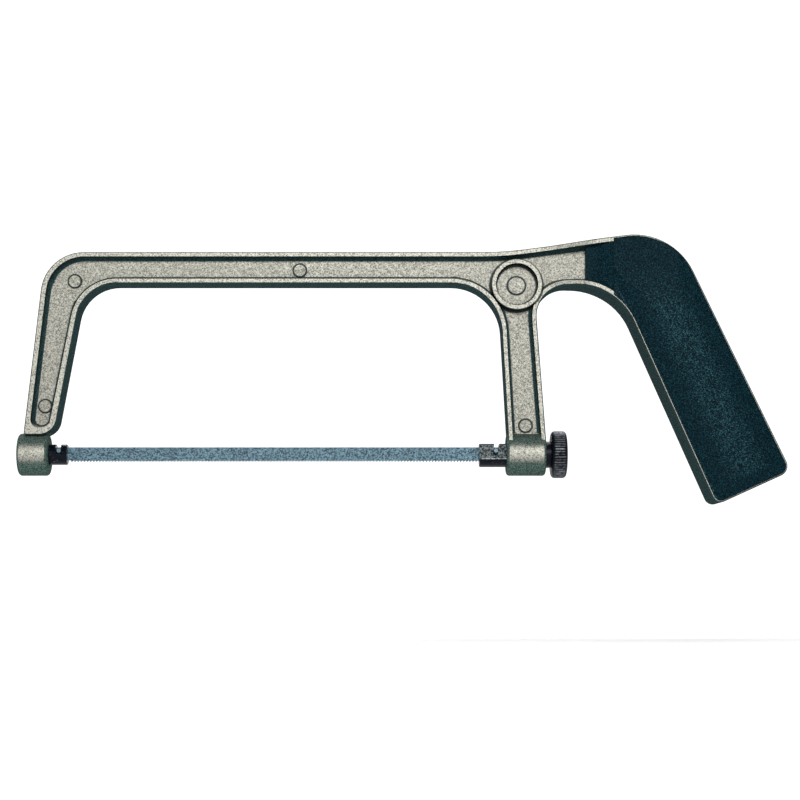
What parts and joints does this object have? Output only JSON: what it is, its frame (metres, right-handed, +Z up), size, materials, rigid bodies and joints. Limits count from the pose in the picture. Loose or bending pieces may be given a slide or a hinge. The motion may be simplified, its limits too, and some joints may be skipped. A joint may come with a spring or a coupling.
{
  "type": "hacksaw",
  "caption": "Small bow hacksaw with a cast I-section frame, slanted handle with inlaid grips, pinned blade on two notched holders and a knurled tension nut.",
  "frame": {"origin": "midway between the blade's two pins, on the centre line of the blade strip", "axes": "+X along the blade towards the handle, +Z up from the blade to the top bar, Y through the thickness of the casting"},
  "size_m": [0.2597, 0.0224, 0.0907],
  "materials": {
    "cast_aluminium": "tumbled die casting, fine metallic speckle",
    "grip_plastic": "fine stipple, semi-matte",
    "screw_steel": "zinc plated",
    "black_steel": "black oxide, glossy",
    "nut_black": "black oxide, straight knurl",
    "blade_steel": "satin blued grey, fine grinding marks",
    "pin_steel": "bright cut ends"
  },
  "bodies": {
    "saw_frame": {"frame": "cast_aluminium", "grip_left": "grip_plastic", "grip_right": "grip_plastic", "grip_screws": "screw_steel", "blade_stud": "black_steel", "thrust_collar": "black_steel"},
    "tensioner": {"draw_bar": "black_steel"},
    "nut": {"tension_nut": "nut_black"},
    "blade_strip": {"blade": "blade_steel", "blade_pin_front": "pin_steel", "blade_pin_rear": "pin_steel"}
  },
  "joints": [
    {"name": "nut_turn", "type": "hinge", "parent": "saw_frame", "child": "nut", "pos_m": [0.095, 0, 0], "axis": [1, 0, 0], "range_deg": [0, 1080]},
    {"name": "draw_slide", "type": "slide", "parent": "saw_frame", "child": "tensioner", "axis": [-1, 0, 0], "range_m": [0, 0.00241]},
    {"name": "blade_unhook", "type": "hinge", "parent": "saw_frame", "child": "blade_strip", "pos_m": [-0.0741, 0, 0.0012], "axis": [0, -1, 0], "range_deg": [0, 6.61]}
  ],
  "couplings": [
    {"joint": "draw_slide", "follows": "nut_turn", "m_per_rad": 0.00012732},
    {"joint": "blade_unhook", "follows": "nut_turn", "ratio": 0.006111}
  ]
}
